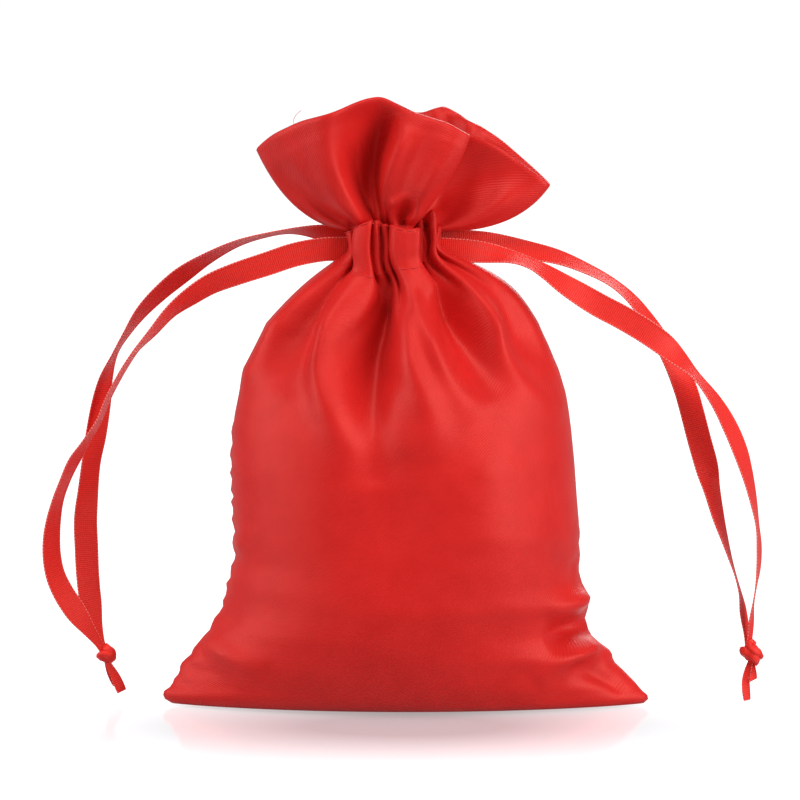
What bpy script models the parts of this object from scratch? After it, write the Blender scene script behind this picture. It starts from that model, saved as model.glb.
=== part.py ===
"""Kinchaku drawstring pouch: a gathered satin pouch closed by two ribbon drawstrings.

Blender 4.5 script, metres, +Z up. The pouch stands on z = 0 with its front towards -Y and
its side seams at -X and +X. The origin is under the middle of the pouch, on the floor.
"""

import math

import bmesh
import bpy
from mathutils import Vector

MM = 0.001
OBJECT_NAME = "kinchaku_drawstring_pouch"

# Driving dimensions, in millimetres.
WALL = 1.0                    # wall of the plain cloth solid
NECK_CENTRE_X = -2.4          # the gathers sit a little to the left of the middle
NECK_HALF = (9.6, 7.2)        # half width and half depth of the gathered neck
CHANNEL_Z = (90.2, 98.4)      # inside of the drawstring channel, between its stitch rows
CHANNEL_OUTER = (8.2, 5.8)    # half axes of the channel's outer wall
CHANNEL_INNER = (7.0, 4.6)    # half axes of the channel's inner wall
THROAT_HALF = (5.8, 3.4)      # half axes of the opening left through the gathers
RUFFLE_BASE_Z = 98.9          # the upper stitch row
RUFFLE_HALF = (31.0, 12.5)    # half width and half depth of the open ruffle
EXIT_HALF_DEPTH = 2.0         # half of the gap in each side seam, front to back
STRAND_Y = 1.15               # the two ends in an exit lie this far before and behind it
RIBBON_WIDTH = 5.0
RIBBON_THICK = 0.5
GAP = 0.3                     # gap between pieces that touch

# Body stations: height, half width, half depth, pointedness of the sides.
BODY = (
    (0.0, 49.4, 15.0, 1.7),
    (1.6, 50.1, 17.5, 1.7),
    (5.5, 47.6, 20.4, 1.6),
    (11.0, 43.6, 22.8, 1.5),
    (17.0, 39.4, 24.2, 1.4),
    (24.0, 36.6, 25.0, 1.3),
    (34.0, 35.6, 25.0, 1.2),
    (46.0, 35.9, 24.4, 1.2),
    (57.0, 35.0, 22.8, 1.1),
    (66.0, 33.2, 20.4, 1.1),
    (74.0, 30.2, 17.6, 1.0),
    (80.5, 25.8, 14.6, 1.0),
    (85.5, 19.4, 11.2, 1.0),
    (88.6, 12.6, 8.4, 1.0),
)
BODY_TOP = 92.0               # above this height the neck keeps one section
PLEATS = 12
SIDES = 60                    # points round a section, five to a pleat

# Ribbon routes: x, y, z in millimetres, then the turn of the ribbon's face in degrees
# (0 faces the front, 90 lies edge-on). Each runs from its exit to its knot.
LEFT_UPPER = (
    (-13.2, 1.3, 96.0, 10), (-18.0, 2.0, 97.2, 30), (-23.8, 3.0, 97.4, 70),
    (-29.6, 4.0, 96.4, 72), (-35.1, 5.0, 94.7, 60), (-40.8, 6.0, 91.8, 50),
    (-46.1, 6.5, 88.3, 45), (-50.7, 7.0, 84.5, 50), (-54.5, 7.5, 80.6, 60),
    (-57.6, 8.0, 76.2, 75), (-60.2, 8.5, 71.8, 80), (-62.1, 9.0, 66.8, 60),
    (-63.2, 9.5, 61.2, 40), (-64.3, 10.2, 54.9, 20), (-65.4, 11.0, 49.0, 10),
    (-66.1, 11.6, 43.3, 10), (-66.7, 12.2, 37.0, 10), (-66.6, 12.8, 31.1, 15),
    (-66.4, 13.2, 25.4, 20), (-65.9, 13.4, 20.1, 25), (-65.0, 13.3, 15.4, 20),
    (-63.8, 12.9, 10.5, 10),
)
LEFT_LOWER = (
    (-13.2, -1.3, 94.0, 5), (-17.1, -2.0, 93.9, 10), (-22.6, -2.5, 92.9, 15),
    (-28.4, -2.6, 91.0, 30), (-34.5, -2.5, 89.0, 45), (-39.8, -2.0, 86.9, 50),
    (-44.1, -1.5, 84.2, 55), (-48.3, -0.5, 80.9, 60), (-52.0, 0.5, 76.7, 70),
    (-55.2, 1.2, 73.2, 80), (-57.3, 2.0, 70.2, 80), (-59.2, 2.9, 67.0, 80),
    (-61.3, 3.8, 63.0, 80), (-63.3, 4.6, 58.3, 80), (-66.0, 5.5, 54.0, 75),
    (-68.5, 6.5, 50.0, 65), (-70.5, 7.5, 45.8, 55), (-72.1, 8.5, 41.7, 50),
    (-73.1, 9.1, 37.6, 45), (-73.6, 9.6, 33.6, 40), (-73.6, 10.0, 29.6, 40),
    (-72.9, 10.3, 25.6, 40), (-71.3, 10.6, 21.9, 35), (-69.1, 10.8, 18.4, 30),
    (-66.7, 11.1, 14.9, 20), (-64.3, 11.5, 10.5, 10),
)
RIGHT_UPPER = (
    (8.4, 1.3, 95.3, 5), (12.1, 1.6, 95.3, 10), (17.2, 2.0, 94.9, 20),
    (24.6, 2.6, 93.6, 40), (31.0, 3.2, 92.2, 55), (36.8, 3.7, 89.9, 65),
    (42.2, 4.1, 87.0, 70), (46.5, 4.3, 83.4, 65), (49.8, 4.4, 79.1, 55),
    (52.7, 4.5, 74.6, 45), (55.4, 4.5, 69.9, 30), (57.6, 4.5, 64.8, 10),
    (59.1, 4.4, 59.6, 5), (60.4, 4.3, 54.6, 5), (61.8, 4.1, 49.6, 10),
    (63.0, 3.9, 44.5, 25), (64.4, 3.7, 38.6, 45), (65.6, 3.6, 34.4, 60),
    (66.9, 3.4, 30.0, 60), (68.1, 3.2, 26.1, 50), (69.1, 3.0, 22.2, 40),
    (69.7, 2.8, 18.4, 20), (70.4, 2.5, 13.8, 10),
)
RIGHT_LOWER = (
    (8.4, -1.3, 93.8, 5), (15.1, -2.1, 93.4, 30), (21.2, -3.0, 92.5, 60),
    (25.3, -3.6, 91.2, 65), (28.6, -4.1, 89.4, 55), (32.8, -4.5, 86.6, 35),
    (38.9, -4.6, 82.9, 10), (43.8, -4.5, 80.3, 5), (48.7, -4.1, 77.4, 5),
    (52.6, -3.6, 74.6, 20), (56.1, -3.0, 71.5, 50), (59.4, -2.5, 68.0, 70),
    (63.4, -2.0, 62.8, 60), (66.3, -1.5, 57.7, 50), (68.5, -1.1, 52.6, 50),
    (70.1, -0.7, 47.5, 60), (71.3, -0.4, 42.4, 70), (72.2, -0.2, 37.2, 70),
    (72.6, 0.0, 32.4, 60), (72.5, 0.2, 28.0, 60), (72.0, 0.4, 24.0, 60),
    (71.4, 0.6, 20.0, 40), (71.1, 0.9, 13.8, 10),
)

# Knots: centre of the lump, its size, and the tips of the ribbon's two cut ends.
LEFT_KNOT = ((-63.0, 12.2, 7.4), (4.4, 4.0, 4.6), ((-59.7, 12.2, 0.8), (-62.2, 12.2, 1.0)))
RIGHT_KNOT = ((71.2, 1.6, 10.7), (5.0, 4.2, 5.0), ((70.4, 1.2, 0.6), (72.4, 1.8, 4.2)))
CUT_END_WIDTH = (3.4, 3.0)

# Finishes: base colour, roughness, metallic.
SATIN_RED = ((0.72, 0.022, 0.020), 0.42, 0.0)
RIBBON_RED = ((0.80, 0.040, 0.032), 0.50, 0.0)


def clear_scene():
    for old in list(bpy.data.objects):
        bpy.data.objects.remove(old, do_unlink=True)


def collection(name):
    made = bpy.data.collections.new(name)
    bpy.context.scene.collection.children.link(made)
    return made


def material(name, finish):
    colour, roughness, metallic = finish
    made = bpy.data.materials.new(name)
    made.use_nodes = True
    shader = made.node_tree.nodes["Principled BSDF"]
    shader.inputs["Base Color"].default_value = (*colour, 1.0)
    shader.inputs["Roughness"].default_value = roughness
    shader.inputs["Metallic"].default_value = metallic
    made.diffuse_color = (*colour, 1.0)
    return made


def smooth_step(low, high, value):
    share = min(1.0, max(0.0, (value - low) / (high - low)))
    return share * share * (3.0 - 2.0 * share)


def signed_power(value, power):
    return math.copysign(abs(value) ** power, value)


def section(centre_x, half_width, half_depth, pointed, height, angle):
    """One point of a pouch section: an ellipse, or a lens where pointed is above 1."""
    return Vector((
        centre_x + half_width * math.cos(angle),
        half_depth * signed_power(math.sin(angle), pointed),
        height,
    ))


def body_point(station, angle, inset):
    """The belly, with gathers that fade out from the neck down to mid height."""
    height, half_width, half_depth, pointed = station
    centre_x = NECK_CENTRE_X * smooth_step(50.0, BODY_TOP, height)
    gather = 0.9 * smooth_step(55.0, 84.0, height) * math.cos(PLEATS * angle)
    return section(centre_x, half_width - inset + gather, half_depth - inset + gather,
                   pointed, height, angle)


def rim_height(angle):
    """The ruffle's edge: highest at front and back, lowest at its right tip."""
    return 110.5 + 13.5 * abs(math.sin(angle)) ** 0.8 - 3.8 * math.cos(angle)


def ruffle_point(share, angle, inset, narrow):
    """The ruffle, from the upper stitch row (share 0) to its edge (share 1)."""
    open_share = share ** 0.85
    half_width = narrow[0] + (RUFFLE_HALF[0] - inset - narrow[0]) * open_share
    half_depth = narrow[1] + (RUFFLE_HALF[1] - inset - narrow[1]) * open_share
    wave = 1.0 + 0.16 * share * math.cos(6 * angle)
    centre_x = NECK_CENTRE_X * (1.0 - share)
    height = RUFFLE_BASE_Z + (rim_height(angle) - RUFFLE_BASE_Z) * share
    return Vector((
        centre_x + half_width * math.cos(angle),
        half_depth * wave * math.sin(angle),
        height,
    ))


def angles(count):
    return [2.0 * math.pi * step / count for step in range(count)]


def loft(name, rings, target):
    """A closed solid through rings of equal count, listed from the bottom up."""
    bm = bmesh.new()
    rows = [[bm.verts.new(point * MM) for point in ring] for ring in rings]
    for below, above in zip(rows, rows[1:]):
        for step in range(len(below)):
            after = (step + 1) % len(below)
            bm.faces.new((below[step], below[after], above[after], above[step]))
    bm.faces.new(list(reversed(rows[0])))
    top = bm.faces.new(rows[-1])
    bmesh.ops.poke(bm, faces=[top])
    bmesh.ops.recalc_face_normals(bm, faces=bm.faces)
    mesh = bpy.data.meshes.new(name)
    bm.to_mesh(mesh)
    bm.free()
    made = bpy.data.objects.new(name, mesh)
    target.objects.link(made)
    return made


def cutter_look(made):
    made.hide_render = True
    made.display_type = "WIRE"


def cut(piece, cutter):
    cutter_look(cutter)
    change = piece.modifiers.new(cutter.name, "BOOLEAN")
    change.operation = "DIFFERENCE"
    change.solver = "EXACT"
    change.object = cutter


def pouch_outside(target):
    turn = angles(SIDES)
    rings = [[body_point(station, angle, 0.0) for angle in turn] for station in BODY]
    for height in (BODY_TOP, RUFFLE_BASE_Z):
        rings.append([
            section(NECK_CENTRE_X, NECK_HALF[0] + 0.5 * math.cos(PLEATS * angle),
                    NECK_HALF[1] + 0.5 * math.cos(PLEATS * angle), 1.0, height, angle)
            for angle in turn
        ])
    for share in (0.15, 0.35, 0.6, 0.8, 1.0):
        rings.append([ruffle_point(share, angle, 0.0, NECK_HALF) for angle in turn])
    return loft("pouch_cloth", rings, target)


def pouch_inside(target):
    """The room inside the cloth: the belly, the throat and the open ruffle."""
    turn = angles(SIDES)
    rings = [[body_point((1.2, 44.0, 12.5, 1.7), angle, 0.0) for angle in turn]]
    rings += [[body_point(station, angle, 1.25 * WALL) for angle in turn]
              for station in BODY[2:12]]
    for height in (CHANNEL_Z[0] - 1.6, RUFFLE_BASE_Z):
        rings.append([section(NECK_CENTRE_X, *THROAT_HALF, 1.0, height, angle)
                      for angle in turn])
    for share in (0.35, 0.6, 0.8, 1.0, 1.08):
        rings.append([ruffle_point(share, angle, 1.4 * WALL, THROAT_HALF)
                      for angle in turn])
    return loft("inside_cut", rings, target)


def ellipse(half_axes, height, count=40):
    return [section(NECK_CENTRE_X, *half_axes, 1.0, height, angle)
            for angle in angles(count)]


def channel_ring(target):
    """The tunnel between the cloth and its hem: an outer plug less an inner plug."""
    ring = loft("channel_cut", [ellipse(CHANNEL_OUTER, height) for height in CHANNEL_Z],
                target)
    core = loft("channel_core", [ellipse(CHANNEL_INNER, CHANNEL_Z[0] - 1.0),
                                 ellipse(CHANNEL_INNER, CHANNEL_Z[1] + 1.0)], target)
    cut(ring, core)
    return ring


def exit_slot(name, side, target):
    """The gap in a side seam where both ends of one ribbon come out."""
    inner = CHANNEL_INNER[0] + GAP
    outer = NECK_HALF[0] + 2.0
    low, high = CHANNEL_Z[0] + 0.1, CHANNEL_Z[1] - 0.1
    bpy.ops.mesh.primitive_cube_add(size=1.0, location=(
        (NECK_CENTRE_X + side * (inner + outer) / 2) * MM, 0.0, (low + high) / 2 * MM))
    slot = bpy.context.object
    slot.name = name
    slot.scale = ((outer - inner) * MM, 2 * EXIT_HALF_DEPTH * MM, (high - low) * MM)
    move_to(slot, target)
    return slot


def move_to(made, target):
    for old in list(made.users_collection):
        old.objects.unlink(made)
    target.objects.link(made)


def loop_outline(side):
    """The middle line of a ribbon round the channel, open at its own exit slot."""
    half_x = (CHANNEL_OUTER[0] + CHANNEL_INNER[0]) / 2
    half_y = (CHANNEL_OUTER[1] + CHANNEL_INNER[1]) / 2
    gap_angle = math.asin(STRAND_Y / half_y)
    count = 36
    line = [(side * (NECK_HALF[0] + 0.5), -STRAND_Y)]
    for step in range(count + 1):
        angle = gap_angle + (2 * math.pi - 2 * gap_angle) * step / count
        line.append((side * half_x * math.cos(angle), -half_y * math.sin(angle)))
    line.append((side * (NECK_HALF[0] + 0.5), STRAND_Y))
    return line


def offset_line(line, distance):
    made = []
    for index, (x, y) in enumerate(line):
        before = line[max(index - 1, 0)]
        after = line[min(index + 1, len(line) - 1)]
        along = Vector((after[0] - before[0], after[1] - before[1])).normalized()
        made.append((x - along.y * distance, y + along.x * distance))
    return made


def ribbon_loop(name, side, heights, target):
    """The stretch of a ribbon that runs round the neck inside the channel."""
    line = loop_outline(side)
    outline = offset_line(line, RIBBON_THICK / 2)
    outline += reversed(offset_line(line, -RIBBON_THICK / 2))
    curve = bpy.data.curves.new(name, "CURVE")
    curve.dimensions = "2D"
    curve.fill_mode = "BOTH"
    curve.extrude = (heights[1] - heights[0]) / 2 * MM
    spline = curve.splines.new("POLY")
    spline.points.add(len(outline) - 1)
    for point, (x, y) in zip(spline.points, outline):
        point.co = ((x + NECK_CENTRE_X) * MM, y * MM, 0.0, 1.0)
    spline.use_cyclic_u = True
    made = bpy.data.objects.new(name, curve)
    made.location.z = (heights[0] + heights[1]) / 2 * MM
    target.objects.link(made)
    return made


def smooth_route(route, spacing):
    """Points read from a Catmull-Rom curve through the route, about spacing apart."""
    ends = [route[0]] + list(route) + [route[-1]]
    made = []
    for index in range(1, len(ends) - 2):
        p0, p1, p2, p3 = (Vector(ends[index + shift]) for shift in (-1, 0, 1, 2))
        steps = max(1, round((p2 - p1).xyz.length / spacing))
        for step in range(steps):
            t = step / steps
            made.append(0.5 * (2 * p1 + (p2 - p0) * t
                               + (2 * p0 - 5 * p1 + 4 * p2 - p3) * t * t
                               + (3 * p1 - p0 - 3 * p2 + p3) * t * t * t))
    made.append(Vector(route[-1]))
    return made


def ribbon_tail(name, route, target):
    """A free ribbon end: a flat strip along its route, turning as it hangs."""
    points = smooth_route(route, 2.6)
    curve = bpy.data.curves.new(name, "CURVE")
    curve.dimensions = "3D"
    curve.fill_mode = "FULL"
    curve.twist_mode = "Z_UP"
    curve.bevel_resolution = 0
    curve.bevel_depth = RIBBON_THICK / 2 * MM
    curve.extrude = (RIBBON_WIDTH - RIBBON_THICK) / 2 * MM
    curve.use_fill_caps = True
    spline = curve.splines.new("POLY")
    spline.points.add(len(points) - 1)
    for made, (x, y, z, turn) in zip(spline.points, points):
        made.co = (x * MM, z * MM, -y * MM, 1.0)
        made.tilt = math.radians(90.0 - turn)
    tail = bpy.data.objects.new(name, curve)
    tail.rotation_euler.x = math.radians(90.0)
    target.objects.link(tail)
    return tail


def knot(name, facts, target, cutters):
    """An overhand knot: a rounded lump with the ribbon's two cut ends below it."""
    centre, size, tips = facts
    bpy.ops.mesh.primitive_cube_add(size=1.0, location=[value * MM for value in centre])
    lump = bpy.context.object
    lump.name = name
    lump.scale = [1.25 * value * MM for value in size]
    move_to(lump, target)
    round_off = lump.modifiers.new("round", "SUBSURF")
    round_off.levels = 2
    round_off.render_levels = 2
    for number, (tip, width) in enumerate(zip(tips, CUT_END_WIDTH)):
        end = cut_end(f"{name}_end_{number}", Vector(centre), Vector(tip), width, cutters)
        join = lump.modifiers.new(end.name, "BOOLEAN")
        join.operation = "UNION"
        join.solver = "EXACT"
        join.object = end
    return lump


def cut_end(name, start, tip, width, target):
    """A short flat end from the middle of the knot to its tip, front face to -Y."""
    along = tip - start
    bpy.ops.mesh.primitive_cube_add(size=1.0, location=(start + tip) / 2 * MM)
    end = bpy.context.object
    end.name = name
    end.scale = (width * MM, 0.8 * RIBBON_THICK * MM, along.length * MM)
    end.rotation_euler = (0.0, math.atan2(along.x, along.z), 0.0)
    cutter_look(end)
    move_to(end, target)
    return end


def build():
    clear_scene()
    parts = collection(OBJECT_NAME)
    cutters = collection("cutters")

    pouch = pouch_outside(parts)
    cut(pouch, pouch_inside(cutters))
    cut(pouch, channel_ring(cutters))
    for name, side in (("left_exit_cut", -1), ("right_exit_cut", 1)):
        cut(pouch, exit_slot(name, side, cutters))
    pouch.data.materials.append(material("satin", SATIN_RED))

    middle = sum(CHANNEL_Z) / 2
    upper_half = (middle + GAP / 2, CHANNEL_Z[1] - GAP)
    lower_half = (CHANNEL_Z[0] + GAP, middle - GAP / 2)
    ribbons = [
        ribbon_loop("left_ribbon_loop", -1, upper_half, parts),
        ribbon_loop("right_ribbon_loop", 1, lower_half, parts),
        ribbon_tail("left_ribbon_upper_tail", LEFT_UPPER, parts),
        ribbon_tail("left_ribbon_lower_tail", LEFT_LOWER, parts),
        ribbon_tail("right_ribbon_upper_tail", RIGHT_UPPER, parts),
        ribbon_tail("right_ribbon_lower_tail", RIGHT_LOWER, parts),
        knot("left_ribbon_knot", LEFT_KNOT, parts, cutters),
        knot("right_ribbon_knot", RIGHT_KNOT, parts, cutters),
    ]
    for piece in ribbons:
        piece.data.materials.append(material(piece.name, RIBBON_RED))


build()
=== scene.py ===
import math

import bpy
import numpy as np
from mathutils import Matrix, Vector


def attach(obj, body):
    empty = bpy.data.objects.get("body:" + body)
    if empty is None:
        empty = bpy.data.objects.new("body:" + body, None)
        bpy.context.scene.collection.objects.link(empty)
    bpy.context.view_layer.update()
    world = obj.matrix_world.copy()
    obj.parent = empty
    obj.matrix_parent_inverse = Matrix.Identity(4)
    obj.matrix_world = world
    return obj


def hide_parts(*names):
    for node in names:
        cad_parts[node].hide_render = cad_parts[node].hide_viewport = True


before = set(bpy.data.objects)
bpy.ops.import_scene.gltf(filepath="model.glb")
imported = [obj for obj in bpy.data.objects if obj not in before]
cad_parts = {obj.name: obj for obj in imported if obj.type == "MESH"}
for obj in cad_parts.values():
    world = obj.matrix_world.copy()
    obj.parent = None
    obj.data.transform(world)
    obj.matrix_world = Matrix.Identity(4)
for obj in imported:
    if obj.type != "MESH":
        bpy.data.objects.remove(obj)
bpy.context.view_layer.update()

bpy.ops.object.select_all(action="DESELECT")

# Camera. A long lens from the front, a little above the pouch's middle, so that the
# floor is seen at a low angle and the whole spread of the ribbons is in view.
aim = Vector((-0.00123, 0.0, 0.06296))
camera_distance = 0.9
camera_rise = math.radians(4.5)
toward_camera = Vector((0, -math.cos(camera_rise), math.sin(camera_rise)))
bpy.ops.object.camera_add(
    location=aim + camera_distance * toward_camera,
    rotation=(math.pi / 2 - camera_rise, 0, 0))
camera = bpy.context.object
camera.data.lens = 197.56
camera.data.clip_start = 0.01
bpy.context.scene.camera = camera
bpy.context.scene.view_settings.view_transform = "Standard"

# Ribbon ends. Each drawstring is one narrow woven ribbon, ribbed across, with a firm
# looped selvedge on both edges. Its two ends leave the channel at one side of the neck,
# arch out, turn over as they fall and come together in a knot just above the floor.
# Routes are in metres, with the turn of the ribbon's face in degrees: 0 faces the front.
left_upper_route = (
    (-.0098, .0009, .0955, 5), (-.0132, .0013, .0960, 10),
    (-.0180, .0020, .0972, 50), (-.0238, .0030, .0974, 76),
    (-.0296, .0040, .0964, 78), (-.0351, .0050, .0947, 72), (-.0408, .0060, .0918, 60),
    (-.0461, .0065, .0883, 45), (-.0507, .0070, .0845, 50), (-.0545, .0075, .0806, 60),
    (-.0576, .0080, .0762, 75), (-.0602, .0085, .0718, 80), (-.0621, .0090, .0668, 60),
    (-.0632, .0095, .0612, 40), (-.0643, .0102, .0549, 34), (-.0654, .0110, .0490, 42),
    (-.0661, .0116, .0433, 36), (-.0667, .0122, .0370, 18), (-.0666, .0128, .0311, 15),
    (-.0664, .0132, .0254, 20), (-.0659, .0134, .0201, 25), (-.0650, .0133, .0154, 20),
    (-.0637, .0128, .0110, 10), (-.0627, .0123, .0090, 10))
left_lower_route = (
    (-.0098, -.0009, .0941, 5), (-.0132, -.0013, .0940, 5),
    (-.0171, -.0020, .0939, 10), (-.0226, -.0025, .0929, 8),
    (-.0284, -.0026, .0910, 10), (-.0345, -.0025, .0890, 18), (-.0398, -.0020, .0869, 30),
    (-.0441, -.0015, .0842, 42), (-.0483, -.0005, .0809, 60), (-.0520, .0005, .0767, 70),
    (-.0552, .0012, .0732, 80), (-.0573, .0020, .0702, 80), (-.0592, .0029, .0670, 80),
    (-.0613, .0038, .0630, 80), (-.0633, .0046, .0583, 80), (-.0660, .0055, .0540, 75),
    (-.0685, .0065, .0500, 65), (-.0705, .0075, .0458, 68), (-.0721, .0085, .0417, 66),
    (-.0731, .0091, .0376, 58), (-.0736, .0096, .0336, 50), (-.0736, .0100, .0296, 46),
    (-.0729, .0103, .0256, 42), (-.0713, .0106, .0219, 35), (-.0691, .0108, .0184, 30),
    (-.0667, .0111, .0149, 20), (-.0641, .0116, .0112, 15), (-.0627, .0120, .0090, 15))
right_upper_route = (
    (.0050, .0009, .0950, 5), (.0084, .0013, .0953, 5),
    (.0121, .0016, .0953, 10), (.0172, .0020, .0949, 20),
    (.0246, .0026, .0936, 40), (.0310, .0032, .0922, 55), (.0368, .0037, .0899, 65),
    (.0422, .0041, .0870, 70), (.0465, .0043, .0834, 65), (.0498, .0044, .0791, 55),
    (.0527, .0045, .0746, 45), (.0554, .0045, .0699, 30), (.0576, .0045, .0648, 10),
    (.0591, .0044, .0596, 5), (.0604, .0043, .0546, 5), (.0618, .0041, .0496, 10),
    (.0630, .0039, .0445, 42), (.0644, .0037, .0386, 58), (.0656, .0036, .0344, 70),
    (.0669, .0034, .0300, 80), (.0681, .0032, .0261, 85), (.0691, .0030, .0222, 80),
    (.0697, .0028, .0184, 60), (.0703, .0024, .0148, 45), (.0706, .0016, .0122, 40))
right_lower_route = (
    (.0050, -.0009, .0940, 5), (.0084, -.0013, .0938, 5),
    (.0151, -.0021, .0934, 30), (.0212, -.0030, .0925, 60),
    (.0253, -.0036, .0912, 65), (.0286, -.0041, .0894, 55), (.0328, -.0045, .0866, 35),
    (.0389, -.0046, .0829, 10), (.0438, -.0045, .0803, 5), (.0487, -.0041, .0774, 5),
    (.0526, -.0036, .0746, 20), (.0561, -.0030, .0715, 50), (.0594, -.0025, .0680, 70),
    (.0634, -.0020, .0628, 60), (.0663, -.0015, .0577, 50), (.0685, -.0011, .0526, 50),
    (.0701, -.0007, .0475, 60), (.0713, -.0004, .0424, 70), (.0722, -.0002, .0372, 79),
    (.0726, .0000, .0324, 75), (.0725, .0002, .0280, 77), (.0720, .0004, .0240, 83),
    (.0714, .0006, .0200, 80), (.0710, .0008, .0152, 55), (.0707, .0012, .0122, 50))
ribbon_width = 0.005
ribbon_thickness = 0.00028


def smooth_through(points, spacing):
    """Points read from a Catmull-Rom curve through the given ones."""
    ends = [np.array(p, float) for p in (points[0], *points, points[-1])]
    made = []
    for a, b, c, d in zip(ends, ends[1:], ends[2:], ends[3:]):
        steps = max(1, round(np.linalg.norm((c - b)[:3]) / spacing))
        for t in np.arange(steps) / steps:
            made.append(0.5 * (2 * b + (c - a) * t + (2 * a - 5 * b + 4 * c - d) * t ** 2
                               + (3 * b - a - 3 * c + d) * t ** 3))
    made.append(ends[-1])
    return np.array(made)


def unit(vectors):
    return vectors / np.linalg.norm(vectors, axis=-1, keepdims=True)


def mesh_piece(name, vertices, faces, uv=None):
    """A mesh object at the origin. uv gives each vertex its place in the weave."""
    mesh = bpy.data.meshes.new(name)
    mesh.from_pydata([tuple(v) for v in vertices], [], faces)
    if uv is not None:
        layer = mesh.uv_layers.new(name="weave")
        corners = np.zeros(len(mesh.loops), int)
        mesh.loops.foreach_get("vertex_index", corners)
        layer.data.foreach_set("uv", np.array(uv, float)[corners].ravel())
    made = bpy.data.objects.new(name, mesh)
    bpy.context.collection.objects.link(made)
    for face in mesh.polygons:
        face.use_smooth = True
    return made


def tube_faces(rings, sides):
    """Faces of a tube made of rings of points, with a flat cap at each end."""
    faces = []
    for ring in range(rings - 1):
        for k in range(sides):
            after = (k + 1) % sides
            faces.append((ring * sides + k, ring * sides + after,
                          (ring + 1) * sides + after, (ring + 1) * sides + k))
    faces.append(tuple(range(sides - 1, -1, -1)))
    faces.append(tuple(range((rings - 1) * sides, rings * sides)))
    return faces


def run_along(line):
    """Length from a line's start to each of its points."""
    return np.concatenate(([0], np.cumsum(np.linalg.norm(np.diff(line, axis=0), axis=1))))


# Half of the ribbon's section, from edge to middle: share of the half width and share
# of the thickness. The selvedge is a fine cord, thicker than the web between.
ribbon_half_section = ((1.0, 0.0), (0.99, 0.7), (0.95, 1.0), (0.90, 0.75), (0.6, 0.62),
                       (0.3, 0.6), (0.0, 0.6))


def ribbon_section():
    top = list(ribbon_half_section) + [(-w, t) for w, t in ribbon_half_section[-2::-1]]
    return top + [(w, -t) for w, t in reversed(top[1:-1])]


def ribbon_strip(centres, across, width, thickness):
    """Vertices, faces and weave places of a ribbon whose width runs along across."""
    along = unit(np.gradient(centres, axis=0))
    across = unit(across - along * np.sum(across * along, axis=1, keepdims=True))
    out = np.cross(along, across)
    section = ribbon_section()
    widths = np.broadcast_to(width, len(centres))
    vertices, uv = [], []
    for centre, side, normal, run, wide in zip(centres, across, out, run_along(centres), widths):
        for w, t in section:
            vertices.append(centre + side * w * wide / 2 + normal * t * thickness / 2)
            uv.append((w * ribbon_width / 2, run))
    return vertices, tube_faces(len(centres), len(section)), uv


def ease(low, high, value):
    """A smooth step from 0 at low to 1 at high."""
    t = np.clip((value - low) / (high - low), 0, 1)
    return t * t * (3 - 2 * t)


def turned_across(centres, turn):
    """The width direction of a ribbon whose face is turned away from the front."""
    along = np.gradient(centres, axis=0)
    flat = unit(np.stack((-along[:, 2], np.zeros(len(along)), along[:, 0]), axis=1))
    turn = np.radians(turn)[:, None]
    return np.cos(turn) * flat + np.sin(turn) * np.array((0.0, 1.0, 0.0))


def weave_nodes(name, base, deep, roughness):
    """A material with a Principled shader, and its node tree, for woven cloth."""
    made = bpy.data.materials.new(name)
    made.use_nodes = True
    tree = made.node_tree
    shader = tree.nodes["Principled BSDF"]
    shader.inputs["Roughness"].default_value = roughness
    uv = tree.nodes.new("ShaderNodeUVMap")
    uv.uv_map = "weave"
    ramp = tree.nodes.new("ShaderNodeMix")
    ramp.data_type = "RGBA"
    ramp.inputs[6].default_value = (*deep, 1)
    ramp.inputs[7].default_value = (*base, 1)
    tree.links.new(ramp.outputs[2], shader.inputs["Base Color"])
    return made, tree, shader, uv, ramp


def stripes(tree, source, pitch, turn, distortion=0.0):
    """Fine parallel threads: a wave across the weave with the given pitch in metres."""
    place = tree.nodes.new("ShaderNodeMapping")
    place.inputs["Rotation"].default_value = (0, 0, math.radians(turn))
    wave = tree.nodes.new("ShaderNodeTexWave")
    wave.inputs["Scale"].default_value = 2 * math.pi / (20 * pitch)
    wave.inputs["Distortion"].default_value = distortion
    wave.inputs["Detail"].default_value = 1.0
    tree.links.new(source, place.inputs["Vector"])
    tree.links.new(place.outputs["Vector"], wave.inputs["Vector"])
    return wave


def combine(tree, a, b, operation="MULTIPLY"):
    """The output of a Math node on two sockets or numbers."""
    node = tree.nodes.new("ShaderNodeMath")
    node.operation = operation
    for socket, value in zip(node.inputs, (a, b)):
        if isinstance(value, (int, float)):
            socket.default_value = value
        else:
            tree.links.new(value, socket)
    return node.outputs[0]


def bump(tree, shader, height, distance):
    """Raise a material's surface by a height of 0 to 1 times a distance in metres."""
    node = tree.nodes.new("ShaderNodeBump")
    node.inputs["Distance"].default_value = distance
    node.inputs["Strength"].default_value = 1.0
    tree.links.new(height, node.inputs["Height"])
    tree.links.new(node.outputs["Normal"], shader.inputs["Normal"])


# The ribbon's finish: bright red yarn, cross ribs under half a millimetre apart, and
# light loops along both selvedges where the weft turns back.
ribbon_red = (0.90, 0.036, 0.026)
ribbon_deep_red = (0.64, 0.014, 0.012)
ribbon_rib_pitch = 0.00042
ribbon_loop_pitch = 0.0007
selvedge_start = 0.455      # share of the ribbon's width, out from its middle
ribbon_cloth, tree, shader, uv, mix = weave_nodes(
    "ribbon_weave", ribbon_red, ribbon_deep_red, 0.45)
shader.inputs["Specular Tint"].default_value = (1.0, 0.4, 0.34, 1.0)
shader.inputs["Sheen Weight"].default_value = 0.05
shader.inputs["Sheen Roughness"].default_value = 0.4
shader.inputs["Sheen Tint"].default_value = (1.0, 0.45, 0.4, 1.0)
ribs = stripes(tree, uv.outputs["UV"], ribbon_rib_pitch, 90)
warps = stripes(tree, uv.outputs["UV"], ribbon_rib_pitch, 0)
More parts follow.
